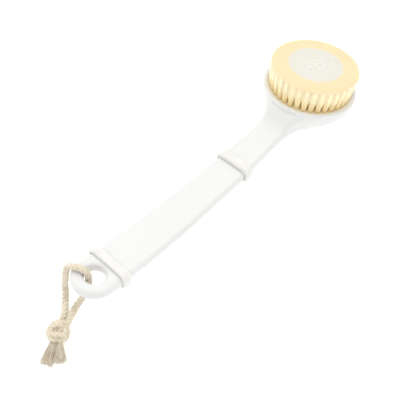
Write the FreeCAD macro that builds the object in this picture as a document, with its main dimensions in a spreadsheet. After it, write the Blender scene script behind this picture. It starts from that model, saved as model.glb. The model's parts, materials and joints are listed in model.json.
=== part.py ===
"""Long-handled dry body brush: one moulded handle and head, a plate of stapled tufts,
two silicone rings and a knotted cotton hanging loop.

Frame: +X runs from the tail to the head, +Z is up, the bristles point up. The brush lies
on z = 0 on its neck ring and the back of its head. The origin is under the middle of it.
All sizes are in millimetres.
"""
import FreeCAD, Part
import math
import os

import Sketcher

V = FreeCAD.Vector
os.makedirs("parts", exist_ok=True)
doc = FreeCAD.newDocument("body_brush")

# ---------------------------------------------------------------- driving dimensions
SIZES = [
    # the eye at the tail, whose middle the stations along the handle are counted from
    ("eye_place_x", -158.19), ("eye_place_z", 32.4), ("eye_lean", 14.0),
    ("eye_outer_radius", 19.4), ("eye_hole_radius", 8.6), ("eye_lip_round", 4.0), ("eye_lip_lift", 0.3),
    # the head: its middle at the top of the lip, and how far it leans to the tail
    ("head_station", 288.8), ("head_place_z", 25.1), ("head_lean", 8.3),
    ("rim_radius", 47.3), ("rim_wall", 4.0), ("lip_round", 1.5), ("wall_straight", 4.2),
    ("bowl_corner", 17.0), ("bowl_depth", 23.8), ("bowl_wall", 3.0),
    ("seat_depth", 6.2), ("seat_ledge", 3.0),
    # the plate that holds the tufts
    ("plate_radius", 43.2), ("plate_thick", 5.0),
    ("hole_radius", 2.3), ("hole_depth", 4.4),
    # one tuft and its staple
    ("tuft_root_radius", 2.2), ("tuft_tip_radius", 2.6), ("tuft_height", 26.8),
    ("tuft_splay", 0.066), ("staple_length", 3.8), ("staple_thick", 0.4), ("staple_tall", 1.3),
    # the silicone rings
    ("ring_gap", 0.3),
    ("neck_ring_station", 171.1), ("neck_ring_width", 9.8), ("neck_ring_thick", 4.1),
    ("neck_ring_side", 3.2), ("neck_ring_round", 2.9),
    ("tail_ring_station", 15.2), ("tail_ring_width", 8.2), ("tail_ring_thick", 3.2),
    ("tail_ring_side", 2.4), ("tail_ring_round", 2.1),
    # the cotton cord
    ("cord_diameter", 6.0), ("knot_across", 20.0), ("knot_along", 17.0), ("knot_tall", 14.8),
    ("fray_across", 11.0), ("fray_tall", 5.0),
]

# stations along the handle: distance from the eye, height of the middle, half width,
# half thickness, corner radius, and the slope of the handle there in degrees
STATIONS = [
    (0.0, 32.4, 19.4, 5.2, 5.0, -14.0),
    (17.5, 28.1, 19.3, 5.2, 4.8, -12.6),
    (33.5, 24.9, 19.2, 4.8, 4.4, -10.6),
    (75.5, 17.7, 18.8, 4.5, 4.2, -8.6),
    (116.5, 12.5, 17.8, 4.5, 4.2, -6.0),
    (156.5, 9.3, 16.9, 4.5, 4.2, -2.8),
    (173.5, 8.9, 16.6, 4.5, 4.2, -0.9),
    (193.5, 8.85, 16.1, 4.5, 4.2, 0.3),
    (211.5, 9.05, 15.3, 4.7, 4.3, 1.8),
    (225.5, 9.65, 15.2, 6.1, 4.8, 6.5),
    (234.5, 11.45, 15.7, 8.3, 5.4, 14.0),
    (241.5, 13.9, 18.0, 11.0, 6.5, 19.0),
    (246.5, 15.8, 21.5, 12.4, 8.0, 20.0),
    (250.5, 16.8, 25.0, 12.8, 9.5, 18.0),
    (255.5, 17.2, 26.5, 12.2, 10.5, 13.0),
    (269.5, 17.0, 14.0, 9.8, 9.0, 8.0),
]

# rows of tufts from the rim inwards: name, radius of the row, number of tufts
YELLOW_ROWS = [("outer", 39.3, 36), ("second", 34.1, 31), ("third", 28.9, 26)]
GREY_ROWS = [("fourth", 23.7, 20), ("fifth", 17.9, 16), ("sixth", 12.1, 10),
             ("seventh", 6.2, 5), ("middle", 0.0, 1)]

# the cord's route from the knot over the eye's wall, through the hole and back to the
# knot: distance from the eye's middle towards the head, to the far side, and height
ROUTE = [
    (-40.8, 3.6, 5.6), (-33.0, 7.2, 4.0), (-26.2, 14.7, 3.4), (-20.8, 19.3, 6.2),
    (-17.3, 21.3, 17.0), (-13.4, 20.8, 29.0), (-8.9, 19.8, 43.1), (-2.0, 4.2, 42.6),
    (-4.2, 2.5, 29.4), (-7.8, 4.0, 18.5), (-12.7, 6.3, 8.6), (-20.4, 7.0, 3.4),
    (-30.4, 3.0, 3.4), (-38.4, -0.8, 5.2),
]
KNOT_MIDDLE = (-46.1, -1.1, 7.4)
KNOT_TURN = 35.0
FRAY_ENDS = [("a", (-50.3, -0.8, 5.0), (-69.0, -11.5, 2.6)),
             ("b", (-48.1, -7.2, 5.0), (-60.0, -19.5, 2.6))]

sheet = doc.addObject("Spreadsheet::Sheet", "sizes")


def put_row(row, alias, value):
    """One line of the sheet: the name in column A, the number in column B."""
    sheet.set(f"A{row}", alias)
    sheet.set(f"B{row}", str(value))
    sheet.setAlias(f"B{row}", alias)


line = 1
for alias, value in SIZES:
    put_row(line, alias, value)
    line += 1
STATION_FIELDS = ("along", "height", "half_width", "half_thick", "corner", "slope")
for number, station in enumerate(STATIONS):
    for field, value in zip(STATION_FIELDS, station):
        put_row(line, f"{field}_{chr(97 + number)}", value)
        line += 1
doc.recompute()


def size(alias):
    """A number from the sheet."""
    return float(sheet.get(alias))


# ---------------------------------------------------------------- helpers
def new_body(name):
    body = doc.addObject("PartDesign::Body", name)
    body.Label = name
    return body


def origin_plane(body, role):
    return next(f for f in body.Origin.OriginFeatures if f.Role == role)


def new_sketch(body, name, plane, place, exprs=()):
    """A sketch on one of the body's own origin planes, moved by its attachment offset."""
    sketch = body.newObject("Sketcher::SketchObject", name)
    sketch.AttachmentSupport = [(origin_plane(body, plane), "")]
    sketch.MapMode = "FlatFace"
    sketch.AttachmentOffset = place
    for path, text in exprs:
        sketch.setExpression("AttachmentOffset." + path, text)
    return sketch


def worth(text):
    """What a sum of the sheet's cells comes to, such as "sizes.ring_gap + sizes.tail_ring_side"."""
    return sum(size(part.strip().removeprefix("sizes.")) for part in text.split("+"))


def slab_outline(sketch, exprs):
    """A rounded rectangle about the sketch's origin: half width, half thickness, corner."""
    w, t, c = (worth(text) for text in exprs)
    corners = [(w - c, t - c, 0), (c - w, t - c, 90), (c - w, c - t, 180), (w - c, c - t, 270)]
    arcs = []
    for cx, cy, start in corners:
        circle = Part.Circle(V(cx, cy, 0), V(0, 0, 1), c)
        arcs.append(sketch.addGeometry(
            Part.ArcOfCircle(circle, math.radians(start), math.radians(start + 90)), False))
    ends = [((w - c, t), (c - w, t)), ((-w, t - c), (-w, c - t)),
            ((c - w, -t), (w - c, -t)), ((w, c - t), (w, t - c))]
    lines = [sketch.addGeometry(Part.LineSegment(V(*a, 0), V(*b, 0)), False) for a, b in ends]
    for i in range(4):
        sketch.addConstraint(Sketcher.Constraint("Tangent", arcs[i], 2, lines[i], 1))
        sketch.addConstraint(Sketcher.Constraint("Tangent", lines[i], 2, arcs[(i + 1) % 4], 1))
    for i in (0, 2):
        sketch.addConstraint(Sketcher.Constraint("Horizontal", lines[i]))
        sketch.addConstraint(Sketcher.Constraint("Vertical", lines[i + 1]))
    for i in (1, 2, 3):
        sketch.addConstraint(Sketcher.Constraint("Equal", arcs[0], arcs[i]))
    named = [
        ("corner", Sketcher.Constraint("Radius", arcs[0], c)),
        ("top", Sketcher.Constraint("DistanceY", -1, 1, lines[0], 1, t)),
        ("bottom", Sketcher.Constraint("DistanceY", lines[2], 1, -1, 1, t)),
        ("left", Sketcher.Constraint("DistanceX", lines[1], 1, -1, 1, w)),
        ("right", Sketcher.Constraint("DistanceX", -1, 1, lines[3], 1, w)),
    ]
    for name, constraint in named:
        sketch.renameConstraint(sketch.addConstraint(constraint), name)
    for names, text in zip((("left", "right"), ("top", "bottom"), ("corner",)), exprs):
        for name in names:
            sketch.setExpression("Constraints." + name, text)


def profile(sketch, segments):
    """Joined lines and three-point arcs, given as lists of two or three (x, y) points."""
    for points in segments:
        p = [V(x, y, 0) for x, y in points]
        sketch.addGeometry(Part.Arc(*p) if len(p) == 3 else Part.LineSegment(*p), False)


def station_sketch(body, letter):
    """The handle's section at one station, square to its slope."""
    place = FreeCAD.Placement(
        V(0, size("height_" + letter), size("eye_place_x") + size("along_" + letter)),
        FreeCAD.Rotation(V(1, 0, 0), -size("slope_" + letter)))
    sketch = new_sketch(body, "section_" + letter, "YZ_Plane", place, [
        ("Base.y", f"sizes.height_{letter}"),
        ("Base.z", f"sizes.eye_place_x + sizes.along_{letter}"),
    ])
    slab_outline(sketch, [f"sizes.{field}_{letter}" for field in ("half_width", "half_thick", "corner")])
    return sketch


def eye_frame():
    """The eye's own frame: its Z is the hole's axis."""
    return FreeCAD.Placement(V(size("eye_place_x"), 0, size("eye_place_z")),
                             FreeCAD.Rotation(V(0, 1, 0), size("eye_lean")))


def head_frame():
    """The head's own frame: its Z is the bristles' direction, z = 0 is the lip's top."""
    return FreeCAD.Placement(V(size("eye_place_x") + size("head_station"), 0, size("head_place_z")),
                             FreeCAD.Rotation(V(0, 1, 0), size("head_lean")))


def side_offset(frame):
    """The same frame as an attachment offset on the XZ plane, whose sketches have +X, +Z."""
    base = frame.Base
    lean = math.degrees(frame.Rotation.Angle) * frame.Rotation.Axis.y
    return FreeCAD.Placement(V(base.x, base.z, 0), FreeCAD.Rotation(V(0, 0, 1), -lean))


# ---------------------------------------------------------------- handle and head, one moulding
def build_handle_body():
    body = new_body("handle_body")
    letters = [chr(97 + i) for i in range(len(STATIONS))]
    sections = [station_sketch(body, letter) for letter in letters]
    doc.recompute()
    grip = body.newObject("PartDesign::AdditiveLoft", "grip")
    grip.Profile = sections[0]
    grip.Sections = sections[1:]
    grip.Ruled = False
    doc.recompute()

    # the eye's round end: half the slab's section turned about the hole's axis
    eye = new_sketch(body, "eye_half", "XZ_Plane", side_offset(eye_frame()))
    r, t, c = size("eye_outer_radius"), size("half_thick_a"), size("corner_a")
    k = c * (1 - math.sqrt(0.5))
    profile(eye, [[(0, -t), (r - c, -t)], [(r - c, -t), (r - k, k - t), (r, c - t)],
                  [(r, c - t), (r, t - c)], [(r, t - c), (r - k, t - k), (r - c, t)],
                  [(r - c, t), (0, t)], [(0, t), (0, -t)]])
    turn = body.newObject("PartDesign::Revolution", "eye_disc")
    turn.Profile = eye
    turn.ReferenceAxis = (eye, ["V_Axis"])
    turn.Angle = 360
    doc.recompute()
    fuse_check("eye_disc")

    # the head's bowl, solid for now
    bowl = new_sketch(body, "bowl_half", "XZ_Plane", side_offset(head_frame()))
    rim, lip, wall = size("rim_radius"), size("lip_round"), size("rim_wall")
    straight, corner, depth = size("wall_straight"), size("bowl_corner"), size("bowl_depth")
    k = lip * (1 - math.sqrt(0.5))
    turn_x, turn_z = rim - corner, -straight
    sag = depth - straight - corner
    dome = (turn_x ** 2 + sag ** 2) / (2 * sag) + corner
    lean = math.asin(turn_x / (dome - corner))
    low = (turn_x + corner * math.sin(lean), turn_z - corner * math.cos(lean))
    half = math.radians(45) + lean / 2
    mid = (turn_x + corner * math.sin(half), turn_z - corner * math.cos(half))
    dome_mid = (dome * math.sin(lean / 2), dome - depth - dome * math.cos(lean / 2))
    profile(bowl, [[(0, 0), (rim - lip, 0)], [(rim - lip, 0), (rim - k, -k), (rim, -lip)],
                   [(rim, -lip), (rim, -straight)], [(rim, -straight), mid, low],
                   [low, dome_mid, (0, -depth)], [(0, -depth), (0, 0)]])
    turn = body.newObject("PartDesign::Revolution", "head_bowl")
    turn.Profile = bowl
    turn.ReferenceAxis = (bowl, ["V_Axis"])
    turn.Angle = 360
    doc.recompute()
    fuse_check("head_bowl")

    # the seat for the bristle plate and the hollow behind it
    seat = new_sketch(body, "seat_half", "XZ_Plane", side_offset(head_frame()))
    inner, ledge, seat_z = rim - wall, rim - wall - size("seat_ledge"), -size("seat_depth")
    inside = corner - size("bowl_wall")
    meet_z = turn_z - math.sqrt(inside ** 2 - (ledge - turn_x) ** 2)
    floor_z = turn_z - inside
    first = math.atan2(turn_z - meet_z, ledge - turn_x)
    half = (first + math.pi / 2) / 2
    mid = (turn_x + inside * math.cos(half), turn_z - inside * math.sin(half))
    profile(seat, [[(0, lip), (inner, lip)], [(inner, lip), (inner, seat_z)],
                   [(inner, seat_z), (ledge, seat_z)], [(ledge, seat_z), (ledge, meet_z)],
                   [(ledge, meet_z), mid, (turn_x, floor_z)], [(turn_x, floor_z), (0, floor_z)],
                   [(0, floor_z), (0, lip)]])
    groove = body.newObject("PartDesign::Groove", "plate_seat")
    groove.Profile = seat
    groove.ReferenceAxis = (seat, ["V_Axis"])
    groove.Angle = 360
    doc.recompute()
    cut_check("plate_seat")

    # the eye's hole, cut along its own axis with both lips rounded over
    hole = new_sketch(body, "hole_half", "XZ_Plane", side_offset(eye_frame()))
    r, lip = size("eye_hole_radius"), size("eye_lip_round")
    t = size("half_thick_a") + size("eye_lip_lift")
    over = t + size("lip_round")
    k = lip * (1 - math.sqrt(0.5))
    profile(hole, [[(0, -over), (r + lip, -over)], [(r + lip, -over), (r + lip, -t)],
                   [(r + lip, -t), (r + k, k - t), (r, lip - t)], [(r, lip - t), (r, t - lip)],
                   [(r, t - lip), (r + k, t - k), (r + lip, t)],
                   [(r + lip, t), (r + lip, over)], [(r + lip, over), (0, over)],
                   [(0, over), (0, -over)]])
    groove = body.newObject("PartDesign::Groove", "eye_hole")
    groove.Profile = hole
    groove.ReferenceAxis = (hole, ["V_Axis"])
    groove.Angle = 360
    doc.recompute()
    cut_check("eye_hole")

    # the small flat that the back of the head lies on
    land = new_sketch(body, "land_square", "XY_Plane", FreeCAD.Placement())
    reach = size("rim_radius")
    middle = size("eye_place_x") + size("head_station")
    box = [(middle - reach, -reach), (middle + reach, -reach), (middle + reach, reach),
           (middle - reach, reach)]
    profile(land, [[box[i], box[(i + 1) % 4]] for i in range(4)])
    flat = body.newObject("PartDesign::Pocket", "resting_flat")
    flat.Profile = land
    flat.Length = reach
    flat.Reversed = False
    doc.recompute()
    cut_check("resting_flat")
    return body


def fuse_check(name):
    """A fuse that goes wrong drops what was there before, so the volumes are compared."""
    feature = doc.getObject(name)
    before = feature.BaseFeature.Shape.Volume
    print(f"{name}: {before:.0f} -> {feature.Shape.Volume:.0f} mm3")
    if feature.Shape.Volume <= before:
        raise RuntimeError(name + " lost a piece")


def cut_check(name):
    """A cut that points the wrong way removes nothing, so the volumes are compared."""
    feature = doc.getObject(name)
    before = feature.BaseFeature.Shape.Volume
    print(f"{name}: {before:.0f} -> {feature.Shape.Volume:.0f} mm3")
    if feature.Shape.Volume >= before:
        raise RuntimeError(name + " cut nothing")


# ---------------------------------------------------------------- the plate and its tufts
def row_lean(radius):
    """The angle that the tufts of a row lean outwards by, in degrees."""
    return radius * size("tuft_splay")


def tuft_places(radius, count):
    """Frames at the bottoms of a row's holes, in the head's frame, leaning outwards."""
    floor_z = size("plate_thick") - size("seat_depth") - size("hole_depth")
    for i in range(count):
        turn = FreeCAD.Rotation(V(0, 0, 1), 360.0 * (i + 0.5) / count)
        lean = FreeCAD.Rotation(V(0, 1, 0), row_lean(radius))
        yield FreeCAD.Placement(turn.multVec(V(radius, 0, floor_z)), turn.multiply(lean))


def build_plate():
    """The disc that fills the seat, with a ring of drilled holes for each row of tufts."""
    body = new_body("bristle_plate")
    frame = head_frame()
    low = frame.multVec(V(0, 0, -size("seat_depth")))
    flat = FreeCAD.Placement(low, frame.Rotation)
    disc = new_sketch(body, "plate_circle", "XY_Plane", flat)
    ring = disc.addGeometry(Part.Circle(V(0, 0, 0), V(0, 0, 1), size("plate_radius")), False)
    disc.addConstraint(Sketcher.Constraint("Coincident", ring, 3, -1, 1))
    disc.renameConstraint(
        disc.addConstraint(Sketcher.Constraint("Radius", ring, size("plate_radius"))), "radius")
    disc.setExpression("Constraints.radius", "sizes.plate_radius")
    pad = body.newObject("PartDesign::Pad", "plate_pad")
    pad.Profile = disc
    pad.setExpression("Length", "sizes.plate_thick")
    doc.recompute()

    for name, radius, count in YELLOW_ROWS + GREY_ROWS:
        lean = FreeCAD.Rotation(V(0, 1, 0), row_lean(radius))
        turn = FreeCAD.Rotation(V(0, 0, 1), 180.0 / count)
        floor_z = size("plate_thick") - size("seat_depth") - size("hole_depth")
        spot = frame.multiply(FreeCAD.Placement(turn.multVec(V(radius, 0, floor_z)),
                                                turn.multiply(lean)))
        drill = new_sketch(body, "drill_" + name, "XY_Plane", spot)
        circle = Part.Circle(V(0, 0, 0), V(0, 0, 1), size("hole_radius"))
        ring = drill.addGeometry(circle, False)
        drill.addConstraint(Sketcher.Constraint("Coincident", ring, 3, -1, 1))
        drill.renameConstraint(
            drill.addConstraint(Sketcher.Constraint("Radius", ring, size("hole_radius"))), "radius")
        drill.setExpression("Constraints.radius", "sizes.hole_radius")
        hole = body.newObject("PartDesign::Pocket", "hole_" + name)
        hole.Profile = drill
        hole.Length = 2 * size("hole_depth")
        hole.Reversed = True
        doc.recompute()
        cut_check("hole_" + name)
        if count > 1:
            around = body.newObject("PartDesign::PolarPattern", "holes_" + name)
            around.Originals = [hole]
            around.Axis = (disc, ["N_Axis"])
            around.Angle = 360
            around.Occurrences = count
            body.Tip = around
            doc.recompute()
            cut_check("holes_" + name)
    return body


def build_templates():
    """One tuft and one staple, sized by the sheet, that every row is copied from."""
    root = doc.addObject("Part::Cylinder", "tuft_root")
    root.setExpression("Radius", "sizes.tuft_root_radius")
    root.setExpression("Height", "sizes.hole_depth - sizes.staple_tall")
    root.setExpression("Placement.Base.z", "sizes.staple_tall")
    flare = doc.addObject("Part::Cone", "tuft_flare")
    flare.setExpression("Radius1", "sizes.tuft_root_radius")
    flare.setExpression("Radius2", "sizes.tuft_tip_radius")
    flare.setExpression("Height", "sizes.tuft_height")
    flare.setExpression("Placement.Base.z", "sizes.hole_depth")
    tuft = doc.addObject("Part::Fuse", "one_tuft")
    tuft.Base, tuft.Tool = root, flare
    staple = doc.addObject("Part::Box", "one_staple")
    staple.setExpression("Length", "sizes.staple_length")
    staple.setExpression("Width", "sizes.staple_thick")
    staple.setExpression("Height", "sizes.staple_tall")
    staple.setExpression("Placement.Base.x", "-sizes.staple_length / 2")
    staple.setExpression("Placement.Base.y", "-sizes.staple_thick / 2")
    doc.recompute()
    return tuft, staple


def build_group(name, template, rows):
    """Copies of one small solid at every hole of the rows, as one group of solids."""
    frame = head_frame()
    copies = []
    for _, radius, count in rows:
        for place in tuft_places(radius, count):
            copy = template.Shape.copy()
            copy.Placement = frame.multiply(place).multiply(template.Shape.Placement)
            copies.append(copy)
    group = doc.addObject("Part::Feature", name)
    group.Shape = Part.makeCompound(copies)
    group.Label = name
    return group


# ---------------------------------------------------------------- silicone rings
def handle_at(along):
    """The handle's height, half width and slope between two stations, read in line."""
    for a, b in zip(STATIONS, STATIONS[1:]):
        if a[0] <= along <= b[0]:
            share = (along - a[0]) / (b[0] - a[0])
            return [a[i] + share * (b[i] - a[i]) for i in (1, 2, 5)]
    raise ValueError("no station there")


def build_ring(name, letter):
    """A band round the handle at a station near the one named by its letter: rounded
    outside, thicker above and below than at its ends, with a little room inside."""
    along = size(name + "_station")
    height, half_width, slope = handle_at(along)
    reach = size(name + "_width") / 2
    half_width = max(handle_at(along - reach)[1], handle_at(along + reach)[1])
    if name == "neck_ring":
        height = size("half_thick_g") + size("ring_gap") + size("neck_ring_thick")
        slope = 0.0
    body = new_body(name)
    place = FreeCAD.Placement(V(0, height, size("eye_place_x") + along),
                              FreeCAD.Rotation(V(1, 0, 0), -slope))
    moves = [("Base.z", f"sizes.eye_place_x + sizes.{name}_station")]
    sheet_row(name + "_half_width", half_width)
    inside = [term + " + sizes.ring_gap" for term in (
        f"sizes.{name}_half_width", f"sizes.half_thick_{letter}", f"sizes.corner_{letter}")]
    walls = (f"sizes.{name}_side", f"sizes.{name}_thick", f"sizes.{name}_side")
    outer = new_sketch(body, name + "_outside", "YZ_Plane", place, moves)
    slab_outline(outer, [term + " + " + wall for term, wall in zip(inside, walls)])
    band = body.newObject("PartDesign::Pad", name + "_band")
    band.Profile = outer
    band.setExpression("Length", f"sizes.{name}_width")
    band.Midplane = True
    doc.recompute()
    rounded = body.newObject("PartDesign::Fillet", name + "_rounding")
    rim_edges = [f"Edge{i + 1}" for i, edge in enumerate(band.Shape.Edges)
                 if abs(edge.tangentAt(edge.FirstParameter).dot(place_axis(slope))) < 0.5]
    rounded.Base = (band, rim_edges)
    rounded.setExpression("Radius", f"sizes.{name}_round")
    doc.recompute()
    inner = new_sketch(body, name + "_inside", "YZ_Plane", place, moves)
    slab_outline(inner, inside)
    bore = body.newObject("PartDesign::Pocket", name + "_bore")
    bore.Profile = inner
    bore.Type = "ThroughAll"
    bore.Midplane = True
    doc.recompute()
    cut_check(name + "_bore")
    return body


def place_axis(slope):
    return V(math.cos(math.radians(slope)), 0, math.sin(math.radians(slope)))


def sheet_row(alias, value):
    """One more line at the foot of the sheet."""
    global line
    put_row(line, alias, round(value, 3))
    line += 1
    doc.recompute()


# ---------------------------------------------------------------- cotton cord
def corner_radius(before, corner, after):
    """The arc at a route point: 0.45 of the shorter run over the tangent of half the turn."""
    a, b = (corner - before), (after - corner)
    return 0.45 * min(a.Length, b.Length) / math.tan(a.getAngle(b) / 2)


def tube_path(points):
    """Straight runs joined by tangent arcs."""
    edges, start = [], points[0]
    for before, corner, after in zip(points, points[1:], points[2:]):
        into, out = (corner - before).normalize(), (after - corner).normalize()
        radius = corner_radius(before, corner, after)
        cut = radius * math.tan(into.getAngle(out) / 2)
        first, last = corner - into * cut, corner + out * cut
        inward = (out - into).normalize()
        middle = corner + inward * (radius / math.cos(into.getAngle(out) / 2) - radius)
        edges += [Part.LineSegment(start, first).toShape(), Part.Arc(first, middle, last).toShape()]
        start = last
        print(f"cord radius {radius:.1f} mm, run {(corner - before).Length:.1f} mm")
    edges.append(Part.LineSegment(start, points[-1]).toShape())
    return Part.Wire(edges)


def build_cord():
    """The loop of the cord, from the knot round the eye's wall and back to the knot."""
    points = [V(x + size("eye_place_x"), y, z) for x, y, z in ROUTE]
    path = tube_path(points)
    section = Part.Wire(Part.Circle(points[0], points[1] - points[0],
                                    size("cord_diameter") / 2).toShape())
    cord = doc.addObject("Part::Feature", "hang_cord")
    cord.Shape = path.makePipeShell([section], True, False, 2)
    cord.Label = "hang_cord"
    expected = math.pi * size("cord_diameter") ** 2 / 4 * path.Length
    print(f"cord length {path.Length:.1f} mm, volume {cord.Shape.Volume:.0f} of {expected:.0f} mm3")
    return cord


def build_knot():
    knot = doc.addObject("Part::Ellipsoid", "cord_knot")
    knot.Label = "cord_knot"
    knot.setExpression("Radius1", "sizes.knot_tall / 2")
    knot.setExpression("Radius2", "sizes.knot_along / 2")
    knot.setExpression("Radius3", "sizes.knot_across / 2")
    x, y, z = KNOT_MIDDLE
    knot.Placement = FreeCAD.Placement(V(x + size("eye_place_x"), y, z),
                                       FreeCAD.Rotation(V(0, 0, 1), KNOT_TURN))
    return knot


def build_fray(letter, start, end):
    """One loose end of the cord below the knot, fanning out into its frayed threads."""
    shift = V(size("eye_place_x"), 0, 0)
    a, b = V(*start) + shift, V(*end) + shift
    way = (b - a).normalize()
    side = way.cross(V(0, 0, 1)).normalize()
    tall = side.cross(way)
    round_start = Part.Wire(Part.Circle(a, way, size("cord_diameter") / 2).toShape())
    flat = Part.Ellipse(b + side * (size("fray_across") / 2), b + tall * (size("fray_tall") / 2), b)
    end_piece = doc.addObject("Part::Feature", "cord_end_" + letter)
    end_piece.Shape = Part.makeLoft([round_start, Part.Wire(flat.toShape())], True, False)
    end_piece.Label = "cord_end_" + letter
    return end_piece


# ---------------------------------------------------------------- build and write
def check_all(pieces):
    """Stops if the document or any piece came out broken."""
    for obj in doc.Objects:
        if {"Invalid", "Error"} & set(obj.State):
            raise RuntimeError(f"{obj.Name} failed: {obj.State}")
    for piece in pieces:
        if piece.Shape.isNull() or not piece.Shape.isValid():
            raise RuntimeError(piece.Label + " has no valid shape")


tuft, staple = build_templates()
pieces = [build_handle_body(), build_plate()]
for name, radius, count in YELLOW_ROWS + GREY_ROWS:
    pieces.append(build_group("tufts_" + name, tuft, [(name, radius, count)]))
pieces.append(build_group("staples_yellow", staple, YELLOW_ROWS))
pieces.append(build_group("staples_grey", staple, GREY_ROWS))
pieces += [build_ring("neck_ring", "g"), build_ring("tail_ring", "b"), build_cord(), build_knot()]
pieces += [build_fray(*end) for end in FRAY_ENDS]
doc.recompute()
check_all(pieces)
for piece in pieces:
    piece.Shape.exportStep(f"parts/{piece.Label}.step")
    box = piece.Shape.optimalBoundingBox()
    print(f"{piece.Label}: {piece.Shape.Volume:.0f} mm3, x {box.XMin:.2f} {box.XMax:.2f}, "
          f"y {box.YMin:.2f} {box.YMax:.2f}, z {box.ZMin:.2f} {box.ZMax:.2f}")
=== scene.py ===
"""Looks of a long-handled dry body brush: white moulding, two-tone nylon tufts, silicone
rings and a knotted loop of three-strand cotton cord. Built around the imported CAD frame.
Lengths are in metres unless a name ends in _MM.
"""

import json
import math
import random

import bpy
import numpy as np
from mathutils import Matrix, Vector


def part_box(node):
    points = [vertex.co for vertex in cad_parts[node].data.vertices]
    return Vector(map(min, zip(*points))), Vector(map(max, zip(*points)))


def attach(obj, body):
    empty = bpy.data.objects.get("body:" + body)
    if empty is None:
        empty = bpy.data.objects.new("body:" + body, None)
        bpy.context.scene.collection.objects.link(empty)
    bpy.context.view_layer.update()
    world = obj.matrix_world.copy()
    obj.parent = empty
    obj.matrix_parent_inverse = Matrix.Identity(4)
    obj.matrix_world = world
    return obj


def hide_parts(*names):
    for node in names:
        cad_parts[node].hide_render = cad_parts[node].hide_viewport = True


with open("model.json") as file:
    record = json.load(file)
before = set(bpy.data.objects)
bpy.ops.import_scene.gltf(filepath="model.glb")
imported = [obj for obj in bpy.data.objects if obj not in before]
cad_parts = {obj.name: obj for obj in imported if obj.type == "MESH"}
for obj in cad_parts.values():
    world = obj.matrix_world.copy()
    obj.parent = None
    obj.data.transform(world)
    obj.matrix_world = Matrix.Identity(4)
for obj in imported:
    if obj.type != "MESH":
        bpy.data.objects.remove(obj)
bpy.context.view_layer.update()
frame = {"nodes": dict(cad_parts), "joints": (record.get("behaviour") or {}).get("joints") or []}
MM = 0.001

# ---------------------------------------------------------------- places read from the frame
LOOP_JOINT = next(j for j in frame["joints"] if j["name"] == "loop_swing")
# the spot on the table under the eye's middle, which the cord's places are counted from
EYE = Vector((LOOP_JOINT["pos_m"][0], 0, 0))
HEAD_LEAN = math.radians(8.3)
PLATE_LOW, PLATE_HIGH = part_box("bristle_plate")
PLATE_THICK = 5.0 * MM
HEAD_UP = Vector((math.sin(HEAD_LEAN), 0, math.cos(HEAD_LEAN)))
HEAD_ALONG = Vector((math.cos(HEAD_LEAN), 0, -math.sin(HEAD_LEAN)))
HEAD_SIDE = Vector((0, 1, 0))
PLATE_TOP = (Vector(PLATE_LOW) + Vector(PLATE_HIGH)) / 2 + HEAD_UP * (PLATE_THICK / 2)

# the rows of tufts, as drilled in the plate: node, radius of the row in mm, tufts in the row
YELLOW_ROWS = [("tufts_outer", 39.3, 36), ("tufts_second", 34.1, 31), ("tufts_third", 28.9, 26)]
WHITE_ROWS = [("tufts_fourth", 23.7, 20), ("tufts_fifth", 17.9, 16), ("tufts_sixth", 12.1, 10),
              ("tufts_seventh", 6.2, 5), ("tufts_middle", 0.0, 1)]
TUFT_LEAN_PER_MM = math.radians(0.066)
TUFT_TALL = 26.8 * MM

CORD_MM = 6.0
# the cord's control points: from EYE towards the head, to the far side, and up
ROUTE_MM = [
    (-40.8, 3.6, 5.6), (-33.0, 7.2, 4.0), (-26.2, 14.7, 3.4), (-20.8, 19.3, 6.2),
    (-17.3, 21.3, 17.0), (-13.4, 20.8, 29.0), (-8.9, 19.8, 43.1), (-2.0, 4.2, 42.6),
    (-4.2, 2.5, 29.4), (-7.8, 4.0, 18.5), (-12.7, 6.3, 8.6), (-20.4, 7.0, 3.4),
    (-30.4, 3.0, 3.4), (-38.4, -0.8, 5.2),
]


# ---------------------------------------------------------------- camera
def add_camera():
    """The photographer's view: from the tail's near side, looking down at 56 degrees."""
    lift, turn, roll = math.radians(56.2), math.radians(46.6), math.radians(-1.8)
    distance, lens = 0.5055, 49.14
    target = EYE + Vector((0.1245, 0.0018, 0))
    right = Vector((math.cos(turn), -math.sin(turn), 0))
    ahead = Vector((math.sin(turn), math.cos(turn), 0))
    down = Vector((0, 0, -1))
    look = ahead * math.cos(lift) + down * math.sin(lift)
    up = ahead * math.sin(lift) - down * math.cos(lift)
    x_axis = right * math.cos(roll) + up * math.sin(roll)
    y_axis = up * math.cos(roll) - right * math.sin(roll)
    data = bpy.data.cameras.new("camera")
    data.lens, data.sensor_width = lens, 36.0
    camera = bpy.data.objects.new("camera", data)
    bpy.context.collection.objects.link(camera)
    place = Matrix((x_axis, y_axis, -look)).transposed().to_4x4()
    place.translation = target - look * distance
    camera.matrix_world = place
    data.clip_start, data.clip_end = 0.02, 20.0
    bpy.context.scene.camera = camera


add_camera()


# ---------------------------------------------------------------- materials
def new_material(name):
    """A material with its Principled shader; returns the material, its tree and the shader."""
    material = bpy.data.materials.new(name)
    material.use_nodes = True
    tree = material.node_tree
    return material, tree, tree.nodes["Principled BSDF"]


def add_node(tree, kind, inputs=(), **settings):
    """A node with its settings, and inputs given as (socket, value or output socket)."""
    node = tree.nodes.new(kind)
    for key, value in settings.items():
        setattr(node, key, value)
    for socket, value in inputs:
        if isinstance(value, bpy.types.NodeSocket):
            tree.links.new(value, node.inputs[socket])
        else:
            node.inputs[socket].default_value = value
    return node


def ramp(tree, factor, stops):
    """A colour ramp over (position, rgb) stops."""
    node = add_node(tree, "ShaderNodeValToRGB", [("Fac", factor)])
    elements = node.color_ramp.elements
    while len(elements) < len(stops):
        elements.new(0.5)
    for element, (position, rgb) in zip(elements, stops):
        element.position = position
        element.color = (*rgb, 1)
    return node.outputs["Color"]


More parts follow.
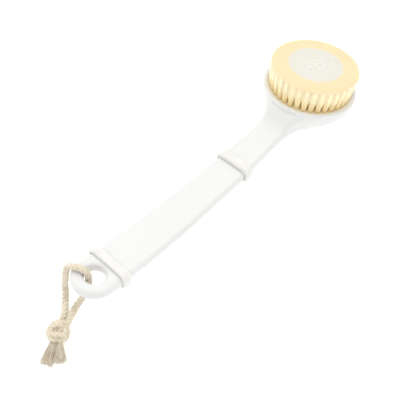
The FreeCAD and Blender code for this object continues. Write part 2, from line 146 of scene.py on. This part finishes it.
def bump(tree, shader, height, strength, distance):
    node = add_node(tree, "ShaderNodeBump",
                    [("Height", height), ("Strength", strength), ("Distance", distance)])
    tree.links.new(node.outputs["Normal"], shader.inputs["Normal"])


def object_coords(tree, scale):
    coords = tree.nodes.new("ShaderNodeTexCoord")
    return add_node(tree, "ShaderNodeMapping",
                    [("Vector", coords.outputs["Object"]), ("Scale", scale)]).outputs["Vector"]


def plastic_material(name, low, high, roughness):
    """Satin moulded plastic: a faint drift of colour, fine spark texture and soft gloss."""
    material, tree, shader = new_material(name)
    place = object_coords(tree, (1, 1, 1))
    cloud = add_node(tree, "ShaderNodeTexNoise",
                     [("Vector", place), ("Scale", 18.0), ("Detail", 4.0)])
    tree.links.new(ramp(tree, cloud.outputs["Fac"], [(0.3, low), (0.7, high)]),
                   shader.inputs["Base Color"])
    wear = add_node(tree, "ShaderNodeTexNoise",
                    [("Vector", place), ("Scale", 90.0), ("Detail", 6.0)])
    spread = add_node(tree, "ShaderNodeMapRange",
                      [("Value", wear.outputs["Fac"]), ("To Min", roughness - 0.06),
                       ("To Max", roughness + 0.08)])
    tree.links.new(spread.outputs["Result"], shader.inputs["Roughness"])
    spark = add_node(tree, "ShaderNodeTexNoise",
                     [("Vector", place), ("Scale", 2600.0), ("Detail", 2.0)])
    bump(tree, shader, spark.outputs["Fac"], 0.12, 0.00004)
    shader.inputs["IOR"].default_value = 1.48
    shader.inputs["Subsurface Weight"].default_value = 0.15
    shader.inputs["Subsurface Radius"].default_value = (1.0, 0.95, 0.9)
    shader.inputs["Subsurface Scale"].default_value = 0.002
    return material


def bristle_material(name, root, middle, tip):
    """Translucent nylon filaments with a faint painted glow, deeper in colour towards their roots
    as painted shade and glow among the packed filaments.
    """
    material, tree, shader = new_material(name)
    coords = tree.nodes.new("ShaderNodeTexCoord")
    height = add_node(tree, "ShaderNodeVectorMath",
                      [(0, coords.outputs["Object"]), (1, tuple(HEAD_UP))], operation="DOT_PRODUCT")
    base = PLATE_TOP.dot(HEAD_UP)
    share = add_node(tree, "ShaderNodeMapRange",
                     [("Value", height.outputs["Value"]), ("From Min", base),
                      ("From Max", base + TUFT_TALL)])
    # painted shade and glow: the colour deepens (warmer in the white rows) towards the roots,
    # standing in for shade and for light seen through the packed filaments low in the field
    along = ramp(tree, share.outputs["Result"],
                 [(0.0, root), (0.55, middle), (0.92, tip), (1.0, tip)])
    speckle = add_node(tree, "ShaderNodeTexNoise",
                       [("Vector", coords.outputs["Object"]), ("Scale", 900.0), ("Detail", 3.0)])
    shade = add_node(tree, "ShaderNodeMapRange",
                     [("Value", speckle.outputs["Fac"]), ("To Min", 0.93), ("To Max", 1.05)])
    tint = add_node(tree, "ShaderNodeVectorMath", [(0, along)], operation="SCALE")
    tree.links.new(shade.outputs["Result"], tint.inputs["Scale"])
    tree.links.new(tint.outputs["Vector"], shader.inputs["Base Color"])
    # painted glow: the filaments emit a little of their own colour, standing in for light passing
    # through the translucent nylon
    tree.links.new(tint.outputs["Vector"], shader.inputs["Emission Color"])
    shader.inputs["Emission Strength"].default_value = 0.10
    shader.inputs["Roughness"].default_value = 0.42
    shader.inputs["IOR"].default_value = 1.53
    shader.inputs["Subsurface Weight"].default_value = 0.5
    shader.inputs["Subsurface Radius"].default_value = (1.0, 0.9, 0.6)
    shader.inputs["Subsurface Scale"].default_value = 0.003
    return material


def silicone_material():
    """Milky translucent silicone with a soft sheen and a fine moulded grain."""
    material, tree, shader = new_material("silicone")
    place = object_coords(tree, (1, 1, 1))
    cloud = add_node(tree, "ShaderNodeTexNoise",
                     [("Vector", place), ("Scale", 60.0), ("Detail", 3.0)])
    tree.links.new(ramp(tree, cloud.outputs["Fac"],
                        [(0.35, (0.67, 0.66, 0.63)), (0.65, (0.71, 0.70, 0.675))]),
                   shader.inputs["Base Color"])
    grain = add_node(tree, "ShaderNodeTexNoise",
                     [("Vector", place), ("Scale", 1800.0), ("Detail", 2.0)])
    bump(tree, shader, grain.outputs["Fac"], 0.15, 0.00005)
    shader.inputs["Roughness"].default_value = 0.38
    shader.inputs["IOR"].default_value = 1.41
    shader.inputs["Subsurface Weight"].default_value = 0.6
    shader.inputs["Subsurface Radius"].default_value = (1.0, 0.95, 0.85)
    shader.inputs["Subsurface Scale"].default_value = 0.004
    return material


def cotton_material():
    """Undyed cotton: warm, matt, with paler and browner fibres."""
    material, tree, shader = new_material("cotton")
    place = object_coords(tree, (1, 1, 1))
    fibre = add_node(tree, "ShaderNodeTexNoise",
                     [("Vector", place), ("Scale", 1500.0), ("Detail", 5.0), ("Roughness", 0.7)])
    patch = add_node(tree, "ShaderNodeTexNoise",
                     [("Vector", place), ("Scale", 140.0), ("Detail", 2.0)])
    mixed = add_node(tree, "ShaderNodeMath",
                     [(0, fibre.outputs["Fac"]), (1, patch.outputs["Fac"])], operation="ADD")
    half = add_node(tree, "ShaderNodeMath", [(0, mixed.outputs[0]), (1, 0.5)],
                    operation="MULTIPLY")
    tree.links.new(ramp(tree, half.outputs[0],
                        [(0.30, (0.50, 0.425, 0.315)), (0.5, (0.68, 0.605, 0.475)),
                         (0.70, (0.82, 0.755, 0.64))]),
                   shader.inputs["Base Color"])
    bump(tree, shader, fibre.outputs["Fac"], 0.5, 0.0002)
    shader.inputs["Roughness"].default_value = 0.95
    shader.inputs["Specular IOR Level"].default_value = 0.2
    shader.inputs["Sheen Weight"].default_value = 0.35
    shader.inputs["Sheen Roughness"].default_value = 0.5
    return material


def steel_material():
    """Drawn staple wire."""
    material, tree, shader = new_material("staple_wire")
    place = object_coords(tree, (1, 1, 12))
    streak = add_node(tree, "ShaderNodeTexNoise",
                      [("Vector", place), ("Scale", 400.0), ("Detail", 3.0)])
    tree.links.new(ramp(tree, streak.outputs["Fac"],
                        [(0.3, (0.55, 0.54, 0.52)), (0.7, (0.75, 0.74, 0.72))]),
                   shader.inputs["Base Color"])
    shader.inputs["Metallic"].default_value = 1.0
    shader.inputs["Roughness"].default_value = 0.35
    return material


WHITE_PLASTIC = plastic_material("white_plastic", (0.665, 0.665, 0.65), (0.685, 0.685, 0.675), 0.36)
PLATE_PLASTIC = plastic_material("plate_plastic", (0.74, 0.70, 0.58), (0.78, 0.75, 0.64), 0.45)
YELLOW_NYLON = bristle_material("yellow_bristle", (0.92, 0.74, 0.35), (0.92, 0.83, 0.54),
                                (0.89, 0.75, 0.48))
WHITE_NYLON = bristle_material("white_bristle", (0.84, 0.79, 0.67), (0.77, 0.75, 0.68),
                               (0.77, 0.75, 0.67))
SILICONE = silicone_material()
COTTON = cotton_material()
STEEL = steel_material()


def finish_piece(name, verts, faces, material, body, smooth=True):
    """A mesh piece with its material and body."""
    mesh = bpy.data.meshes.new(name)
    mesh.from_pydata([tuple(v) for v in verts], [], [tuple(int(i) for i in f) for f in faces])
    mesh.materials.append(material)
    mesh.polygons.foreach_set("use_smooth", [smooth] * len(mesh.polygons))
    mesh.update()
    piece = bpy.data.objects.new(name, mesh)
    bpy.context.collection.objects.link(piece)
    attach(piece, body)
    return piece


def give_material(node, material):
    """A CAD node keeps its shape and gets a better material."""
    for place in frame["nodes"][node].material_slots:
        place.material = material


# ---------------------------------------------------------------- ropes
def spline_points(points, step):
    """Points at an even step along the smooth line whose control points are given."""
    data = bpy.data.curves.new("route", "CURVE")
    data.dimensions = "3D"
    spline = data.splines.new("NURBS")
    spline.points.add(len(points) - 1)
    for control, point in zip(spline.points, points):
        control.co = (*point, 1.0)
    spline.order_u = 3
    spline.use_endpoint_u = True
    spline.resolution_u = 24
    holder = bpy.data.objects.new("route", data)
    bpy.context.collection.objects.link(holder)
    mesh = bpy.data.meshes.new_from_object(holder)
    line = np.array([v.co for v in mesh.vertices])
    bpy.data.objects.remove(holder)
    bpy.data.meshes.remove(mesh)
    bpy.data.curves.remove(data)
    lengths = np.r_[0, np.cumsum(np.linalg.norm(np.diff(line, axis=0), axis=1))]
    count = max(2, round(lengths[-1] / step))
    even = np.linspace(0, lengths[-1], count + 1)
    return np.stack([np.interp(even, lengths, line[:, i]) for i in range(3)], axis=1)


def carried_frames(line):
    """Tangents and two normals along a line, carried on without twisting."""
    tangents = np.gradient(line, axis=0)
    tangents /= np.linalg.norm(tangents, axis=1)[:, None]
    start = np.cross(tangents[0], (0.0, 0.0, 1.0))
    normals = [start / np.linalg.norm(start)]
    for tangent in tangents[1:]:
        normal = normals[-1] - tangent * np.dot(normals[-1], tangent)
        normals.append(normal / np.linalg.norm(normal))
    normals = np.array(normals)
    return tangents, normals, np.cross(tangents, normals)


def tube(line, radius_at, sides):
    """A tube of rings round a line; radius_at(step, angle) may vary along and round it."""
    _, first, second = carried_frames(line)
    verts = []
    for i, point in enumerate(line):
        for k in range(sides):
            angle = 2 * math.pi * k / sides
            out = first[i] * math.cos(angle) + second[i] * math.sin(angle)
            verts.append(point + out * radius_at(i, angle))
    faces = []
    for i in range(len(line) - 1):
        for k in range(sides):
            low, nxt = i * sides + k, i * sides + (k + 1) % sides
            faces.append((low, nxt, nxt + sides, low + sides))
    faces.append(tuple(range(sides - 1, -1, -1)))
    last = (len(line) - 1) * sides
    faces.append(tuple(range(last, last + sides)))
    return verts, faces


def join(parts):
    """Several (verts, faces) meshes as one."""
    verts, faces = [], []
    for more_verts, more_faces in parts:
        shift = len(verts)
        verts.extend(more_verts)
        faces.extend(tuple(i + shift for i in face) for face in more_faces)
    return verts, faces


STRANDS = 3
YARNS = 5
# the length over which a strand, and a yarn in its strand, goes round once
LAY_MM = 12.5
YARN_LAY_MM = 5.5
# shares of the rope's diameter: a strand's radius, and how far its middle lies off the rope's
STRAND_RADIUS = 0.262
STRAND_OFFSET = 0.245
# a strand's radius in the valleys between its yarns, and how much the yarns stand out of them
FLUTE_LOW = 0.90
FLUTE_RISE = 0.13
STRAND_SIDES = 15


def rope(line, diameter, phase=0.0):
    """Three strands laid round a line, each fluted by its own yarns twisted the other way."""
    _, first, second = carried_frames(line)
    along = np.r_[0, np.cumsum(np.linalg.norm(np.diff(line, axis=0), axis=1))] / MM
    strand_radius = STRAND_RADIUS * diameter
    parts = []
    for strand in range(STRANDS):
        angles = phase + 2 * math.pi * (strand / STRANDS + along / LAY_MM)
        offset = first * np.cos(angles)[:, None] + second * np.sin(angles)[:, None]
        middle = line + offset * (STRAND_OFFSET * diameter)

        def flute(i, angle, strand=strand):
            twist = YARNS * (angle - 2 * math.pi * along[i] / YARN_LAY_MM) / 2 + strand
            return strand_radius * (FLUTE_LOW + FLUTE_RISE * abs(math.cos(twist)))

        parts.append(tube(middle, flute, STRAND_SIDES))
    return join(parts)


# distances between the rings of a rope's mesh
LOOP_STEP_MM = 0.6
KNOT_STEP_MM = 0.7


def eye_point(point_mm):
    return EYE + Vector(point_mm) * MM


def build_loop():
    """The free cord: from the knot over the eye's wall, through the hole and back."""
    line = spline_points([eye_point(p) for p in ROUTE_MM], LOOP_STEP_MM * MM)
    verts, faces = rope(line, CORD_MM * MM)
    loop = finish_piece("cord_loop", verts, faces, COTTON, "hanging_loop")
    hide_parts("hang_cord")
    length = float(np.linalg.norm(np.diff(line, axis=0), axis=1).sum())
    return loop, line, length


# the knot's own frame: away from the eye along the table, across it, and up
KNOT_MIDDLE = eye_point((-46.1, -1.1, 7.4))
KNOT_WAY = Vector((-0.80, -0.60, 0))
KNOT_SIDE = Vector((-0.60, 0.80, 0))
# the overhand knot's route: in over the top, under the band, round the right side and over
# the cords that come in, down the left, and across the front as the band
KNOT_ROUTE_MM = [
    (-3.5, -0.6, 1.0), (0.0, 0.4, 1.2), (3.0, 0.6, -1.5), (5.2, -1.6, -3.6),
    (3.0, -5.4, -3.6), (-1.5, -6.2, -1.4), (-5.6, -4.0, 1.6), (-6.8, 0.2, 2.8),
    (-5.2, 4.4, 1.8), (-1.2, 6.8, 0.4), (3.0, 5.8, 1.4), (5.0, 1.2, 3.0), (4.0, -3.8, 2.2),
    (4.6, -5.6, -1.0),
]
# in the knot the cord is squeezed thinner, and its two runs lie this far off their middle
KNOT_CORD_MM = 5.1
PAIR_HALF_MM = 1.8
LOWEST_IN_KNOT_MM = 2.6
# how many of the loop's points back from its end the knot's rope starts
OVERLAP_POINTS = 6


def knot_point(way, side, up):
    return KNOT_MIDDLE + (KNOT_WAY * way + KNOT_SIDE * side + Vector((0, 0, up))) * MM


def build_knot(line, tails):
    """Both cords lie side by side all the way round the knot."""
    middle = spline_points([knot_point(*p) for p in KNOT_ROUTE_MM], 2.0 * MM)
    _, across, _ = carried_frames(middle)
    first_run = line[OVERLAP_POINTS], line[0], tails[0], 1
    second_run = line[-1 - OVERLAP_POINTS], line[-1], tails[1], -1
    parts = []
    for before, entry, tail, sign in (first_run, second_run):
        beside = middle + across * (PAIR_HALF_MM * MM * sign)
        beside[:, 2] = np.maximum(beside[:, 2], LOWEST_IN_KNOT_MM * MM)
        route = spline_points([before, entry, *beside, tail], KNOT_STEP_MM * MM)
        parts.append(rope(route, KNOT_CORD_MM * MM, phase=sign))
    verts, faces = join(parts)
    knot = finish_piece("overhand_knot", verts, faces, COTTON, "hanging_loop")
    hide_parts("cord_knot")
    return knot


FRAY_POINTS = 7
FRAY_STEP_MM = 1.6
LOCKS = 9
LOOSE_YARNS = 170
# the lowest that a loose yarn's middle may lie
YARN_FLOOR_MM = 0.45


def fray_line(start, end, side, tall, spot, reach, rng):
    """One loose yarn of a frayed end; spot is its place across the end, from -1 to 1."""
    way = end - start
    bend, curl = rng.uniform(-1, 1), rng.uniform(-1, 1)
    points = []
    for k in range(FRAY_POINTS):
        t = k / (FRAY_POINTS - 1)
        # half the end's width and height here, in mm: it fans out sideways and flattens
        wide, high = 2.6 + 3.0 * t ** 1.2, 2.3 - 0.4 * t
        wave = math.sin(math.pi * t * 1.6 + curl * 2)
        point = start + way * (reach * t)
        point += side * ((spot[0] * wide + bend * 0.9 * t * t + 0.5 * wave * t) * MM)
        point += tall * ((spot[1] * high + curl * 0.6 * t) * MM)
        point.z = max(point.z, YARN_FLOOR_MM * MM)
        points.append(point)
    return spline_points(points, FRAY_STEP_MM * MM)


def build_fray(node, start, end, seed):
    """One cord end, unlaid into soft locks and a fan of loose yarns over them."""
    rng = random.Random(seed)
    side = (end - start).normalized().cross(Vector((0, 0, 1))).normalized()
    tall = side.cross((end - start).normalized())
    parts = []
    for k in range(LOCKS):
        spot = (0.55 * math.cos(2.4 * k) * (0.4 + 0.6 * (k % 3) / 2), 0.5 * math.sin(2.4 * k))
        line = fray_line(start, end, side, tall, spot, rng.uniform(0.80, 0.93), rng)
        last = len(line) - 1

        def lock(i, angle, n=last, turn=k):
            taper = 1.0 - 0.35 * i / n
            return (0.95 + 0.22 * abs(math.cos(2.5 * angle + turn + 0.5 * i))) * taper * MM

        parts.append(tube(line, lock, 12))
    for _ in range(LOOSE_YARNS):
        angle, share = rng.uniform(0, 2 * math.pi), math.sqrt(rng.uniform(0.15, 1.0))
        spot = (math.cos(angle) * share, math.sin(angle) * share)
        line = fray_line(start, end, side, tall, spot, rng.uniform(0.82, 1.02), rng)
        last, thick = len(line) - 1, rng.uniform(0.16, 0.30) * MM
        parts.append(tube(line, lambda i, angle, n=last, r=thick: r * (1.0 - 0.5 * i / n), 4))
    verts, faces = join(parts)
    fray = finish_piece(node.replace("cord_end", "frayed_end"), verts, faces, COTTON,
                        "hanging_loop")
    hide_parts(node)
    return fray


def build_cord():
    loop, line, length = build_loop()
    tail_a = eye_point((-50.7, -2.6, 4.8)), eye_point((-69.5, -12.4, 2.8))
    tail_b = eye_point((-49.3, -6.8, 4.8)), eye_point((-61.1, -19.2, 2.8))
    knot = build_knot(line, (tail_a[0], tail_b[0]))
    frays = [build_fray("cord_end_a", *tail_a, 11), build_fray("cord_end_b", *tail_b, 23)]


build_cord()


# ---------------------------------------------------------------- bristles
TUFT_MM = TUFT_TALL / MM
ROOT_MM = 1.95
# the share of its height at which a tuft has fanned out to its whole patch
SPREAD_BY = 0.62
# how far the outermost tufts reach outwards, and the middle tuft all round
OUTERMOST_MM = 2.65
MIDDLE_MM = 4.1
# the rounded rim of the trimmed field: its radius, how far in it starts, and how far it drops
FIELD_EDGE_MM = 42.3
EDGE_ROUND_MM = 5.5
EDGE_DROP_MM = 1.1
EDGE_STEEPEST = 1.1
# the shares of a tuft's height at which its outline is drawn
LEVELS = (0.0, 0.2, 0.4, SPREAD_BY, 0.85, 1.0)
# a tuft's packed core, just inside its outline and just under its tips
CORE_SIDES = 28
CORE_SHARE = 0.985
CORE_RIB = 0.06
CORE_UNDER_TIPS_MM = 0.45
# filament tips in a tuft, and the filaments that show down the outermost tufts' outer side
TIPS = 120
TIP_LENGTH_MM = 3.0
SIDE_FILAMENTS = 46
# steps of an even, unrepeating spread of places over a square
SPREAD_U = 0.7549
SPREAD_V = 0.5698


class Patch:
    """The patch of the trimmed face that one tuft fills: how far it reaches from the tuft's
    middle towards the head's axis, away from it, and round it, in millimetres."""

    def __init__(self, radius, count, inward, outward):
        fan = 1 + TUFT_MM * TUFT_LEAN_PER_MM
        self.radius, self.inward, self.outward = radius, inward * fan, outward * fan
        self.round = inward
        if count > 1:
            self.round = math.tan(math.pi / count) * radius * fan

    def place(self, u, v, share):
        """A spot of the tuft, u and v from -1 to 1, at a share of its height: the tuft fans
        out from its root to its patch, then runs straight."""
        opened = min(1.0, share / SPREAD_BY) ** 1.25
        x = u * (ROOT_MM + ((self.outward if u > 0 else self.inward) - ROOT_MM) * opened)
        y = v * (ROOT_MM + (self.round - ROOT_MM) * opened)
        if self.radius:
            y *= 1 + opened * x / self.radius
        return x, y

    def rim(self, angle, share):
        """The tuft's outline: round at its root, squared off where it meets its neighbours."""
        power = 2 / (2 + 5 * share ** 2 + 12 * share ** 8)
        c, s = math.cos(angle), math.sin(angle)
        u = math.copysign(abs(c) ** power, c)
        v = math.copysign(abs(s) ** power, s)
        return self.place(u, v, share)

    def top(self, x):
        """The trimmed field is rounded off at its rim, so the tips there are shorter."""
        past = max(0.0, self.radius + x - (FIELD_EDGE_MM - EDGE_ROUND_MM)) / EDGE_ROUND_MM
        return TUFT_MM - EDGE_DROP_MM * min(past, EDGE_STEEPEST) ** 2.2


def core_mesh(patch):
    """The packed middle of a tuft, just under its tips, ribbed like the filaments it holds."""
    sides, verts, faces = CORE_SIDES, [], []
    for share in LEVELS:
        for k in range(sides):
            x, y = patch.rim(2 * math.pi * k / sides, share)
            rib = CORE_SHARE if k % 2 else CORE_SHARE - CORE_RIB * (1 - share)
            z = (patch.top(x) - CORE_UNDER_TIPS_MM) * share
            verts.append(np.array([x * rib, y * rib, z]))
    for ring in range(len(LEVELS) - 1):
        for k in range(sides):
            low, nxt = ring * sides + k, ring * sides + (k + 1) % sides
            faces.append((low, nxt, nxt + sides, low + sides))
    verts.append(np.array([0.0, 0.0, patch.top(0) - CORE_UNDER_TIPS_MM]))
    rim = (len(LEVELS) - 1) * sides
    faces.extend((rim + k, rim + (k + 1) % sides, len(verts) - 1) for k in range(sides))
    return verts, faces


def filament_mesh(middles, radius, spin):
    """A three-sided filament through the given places, with a slightly tapered tip."""
    verts, faces = [], []
    for i, middle in enumerate(middles):
        thick = radius * (0.8 if i == len(middles) - 1 else 1.0)
        for k in range(3):
            a = spin + 2 * math.pi * k / 3
            verts.append(np.array(middle) + np.array([math.cos(a), math.sin(a), 0]) * thick)
    for ring in range(len(middles) - 1):
        for k in range(3):
            low, nxt = ring * 3 + k, ring * 3 + (k + 1) % 3
            faces.append((low, nxt, nxt + 3, low + 3))
    top = 3 * (len(middles) - 1)
    faces.append((top, top + 1, top + 2))
    return verts, faces


def tuft_mesh(rng, patch, outermost):
    """One tuft in millimetres: its row's radius is along x, its root at the plate's top."""
    parts = [core_mesh(patch)]
    for i in range(TIPS):
        u, v = 2 * (SPREAD_U * i % 1) - 1, 2 * (SPREAD_V * i % 1) - 1
        x, y = patch.place(1.03 * u, 1.03 * v, 1.0)
        x, y = x + rng.uniform(-0.15, 0.15), y + rng.uniform(-0.15, 0.15)
        z = patch.top(x) - rng.uniform(0.0, 0.22)
        parts.append(filament_mesh([[x * 0.95, y * 0.95, z - TIP_LENGTH_MM], [x, y, z]],
                                   rng.uniform(0.25, 0.33), rng.random() * 6))
    if outermost:
        for i in range(SIDE_FILAMENTS):
            angle = math.pi * (1.25 * (i + 0.5) / SIDE_FILAMENTS - 0.625) + rng.uniform(-0.03, 0.03)
            stray = rng.uniform(-0.10, 0.25)
            middles = []
            for share in (-0.02, *LEVELS[1:]):
                x, y = patch.rim(angle, max(share, 0))
                out = x + math.cos(angle) * stray * share
                middles.append([out, y + math.sin(angle) * stray * share, share * patch.top(out)])
            middles[-1][2] -= rng.uniform(0, 0.4)
            parts.append(filament_mesh(middles, rng.uniform(0.17, 0.24), rng.random() * 6))
    verts, faces = join(parts)
    verts = np.array(verts)
    lean = patch.radius * TUFT_LEAN_PER_MM
    x, z = verts[:, 0].copy(), verts[:, 2].copy()
    verts[:, 0] = x * math.cos(lean) + z * math.sin(lean)
    verts[:, 2] = z * math.cos(lean) - x * math.sin(lean)
    return verts, faces


def build_row(node, patch, count, material):
    """A ring of tufts, set out round the head's axis."""
    rng = random.Random(node)
    parts = []
    for i in range(count):
        verts, faces = tuft_mesh(rng, patch, node == "tufts_outer")
        turn = 2 * math.pi * (i + 0.5) / count
        x = (verts[:, 0] + patch.radius) * math.cos(turn) - verts[:, 1] * math.sin(turn)
        y = (verts[:, 0] + patch.radius) * math.sin(turn) + verts[:, 1] * math.cos(turn)
        placed = (np.outer(x, HEAD_ALONG) + np.outer(y, HEAD_SIDE)
                  + np.outer(verts[:, 2], HEAD_UP)) * MM + np.array(PLATE_TOP)
        parts.append((list(placed), faces))
    verts, faces = join(parts)
    piece = finish_piece(node.replace("tufts", "bristles"), verts, faces, material, "brush",
                         smooth=False)
    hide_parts(node)


def build_field():
    """Every row, from the rim inwards; neighbours meet half way between their rows."""
    rows = ([(*row, YELLOW_NYLON, "yellow_bristle") for row in YELLOW_ROWS]
            + [(*row, WHITE_NYLON, "white_bristle") for row in WHITE_ROWS])
    radii = [row[1] for row in rows]
    outward = OUTERMOST_MM
    for i, (node, radius, count, material, slot_name) in enumerate(rows):
        if radius:
            inward = (radius - radii[i + 1]) / 2
        else:
            inward = outward = MIDDLE_MM
        build_row(node, Patch(radius, count, inward, outward), count, material)
        outward = inward


build_field()

# ---------------------------------------------------------------- moulded and rubber parts
KEPT_NODES = [("handle_body", WHITE_PLASTIC), ("bristle_plate", PLATE_PLASTIC),
              ("neck_ring", SILICONE), ("tail_ring", SILICONE),
              ("staples_yellow", STEEL), ("staples_grey", STEEL)]
for kept_node, kept_material in KEPT_NODES:
    give_material(kept_node, kept_material)


# ---------------------------------------------------------------- floor and light
def add_floor():
    """A wide, plain, nearly white table."""
    reach = 4.0
    mesh = bpy.data.meshes.new("floor")
    mesh.from_pydata([(-reach, -reach, 0), (reach, -reach, 0), (reach, reach, 0),
                      (-reach, reach, 0)], [], [(0, 1, 2, 3)])
    material, tree, shader = new_material("floor")
    cloud = add_node(tree, "ShaderNodeTexNoise",
                     [("Vector", object_coords(tree, (1, 1, 1))), ("Scale", 2.0)])
    tree.links.new(ramp(tree, cloud.outputs["Fac"],
                        [(0.3, (0.955, 0.955, 0.955)), (0.7, (0.965, 0.965, 0.965))]),
                   shader.inputs["Base Color"])
    shader.inputs["Roughness"].default_value = 0.9
    shader.inputs["Specular IOR Level"].default_value = 0.1
    shader.inputs["Emission Color"].default_value = (1, 1, 1, 1)
    shader.inputs["Emission Strength"].default_value = 0.32
    mesh.materials.append(material)
    floor = bpy.data.objects.new("floor", mesh)
    bpy.context.collection.objects.link(floor)


def add_area_light(name, place, aim, size, power):
    data = bpy.data.lights.new(name, "AREA")
    data.shape, data.size, data.energy = "DISK", size, power
    light = bpy.data.objects.new(name, data)
    light.location = place
    light.rotation_mode = "QUATERNION"
    light.rotation_quaternion = (Vector(aim) - Vector(place)).to_track_quat("-Z", "Y")
    bpy.context.collection.objects.link(light)


def add_light():
    world = bpy.data.worlds.new("studio")
    world.use_nodes = True
    tree = world.node_tree
    coords = tree.nodes.new("ShaderNodeTexCoord")
    lit_side = add_node(tree, "ShaderNodeVectorMath",
                        [(0, coords.outputs["Generated"]), (1, (0.13, 0.22, 0.967))],
                        operation="DOT_PRODUCT")
    share = add_node(tree, "ShaderNodeMapRange",
                     [("Value", lit_side.outputs["Value"]), ("From Min", -0.6), ("From Max", 0.9)])
    glow = ramp(tree, share.outputs["Result"],
                [(0.0, (0.17, 0.17, 0.17)), (0.42, (0.59, 0.59, 0.59)), (0.9, (1, 1, 1))])
    tree.links.new(glow, tree.nodes["Background"].inputs["Color"])
    tree.nodes["Background"].inputs["Strength"].default_value = 1.34
    bpy.context.scene.world = world
    add_area_light("softbox", (0.30, 0.30, 1.25), (0, 0, 0), 1.3, 3.6)
    bpy.context.scene.view_settings.view_transform = "Standard"
    bpy.context.scene.view_settings.look = "None"


add_floor()
add_light()
